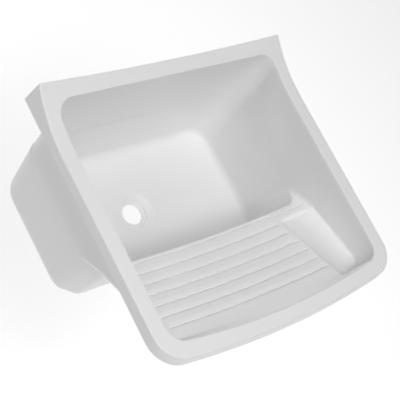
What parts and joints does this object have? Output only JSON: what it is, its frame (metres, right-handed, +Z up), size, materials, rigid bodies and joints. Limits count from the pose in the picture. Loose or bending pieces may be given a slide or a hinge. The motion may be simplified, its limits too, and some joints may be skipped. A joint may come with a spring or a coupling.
{
  "type": "laundry wash tub",
  "caption": "Wall-hung laundry wash tub: deep bowl with an open drain, sloping ribbed washboard, soap trough and raised back edge.",
  "frame": {"origin": "middle of the back face, at the height of the flat part of the rim", "axes": "+Z up, -Y towards the front of the tub, +Y into the wall, +X to the right seen from the front"},
  "size_m": [0.5054, 0.4518, 0.257],
  "materials": {
    "white_resin": "satin moulded",
    "galvanised_steel": "dull zinc coating",
    "zinc_plated_steel": "bright zinc plating"
  },
  "bodies": {
    "root": {"tub": "white_resin", "hanger_plate_left": "galvanised_steel", "hanger_plate_right": "galvanised_steel", "screw_left_outer": "zinc_plated_steel", "screw_left_inner": "zinc_plated_steel", "screw_right_outer": "zinc_plated_steel", "screw_right_inner": "zinc_plated_steel", "nut_left_outer": "zinc_plated_steel", "nut_left_inner": "zinc_plated_steel", "nut_right_outer": "zinc_plated_steel", "nut_right_inner": "zinc_plated_steel"}
  },
  "joints": []
}
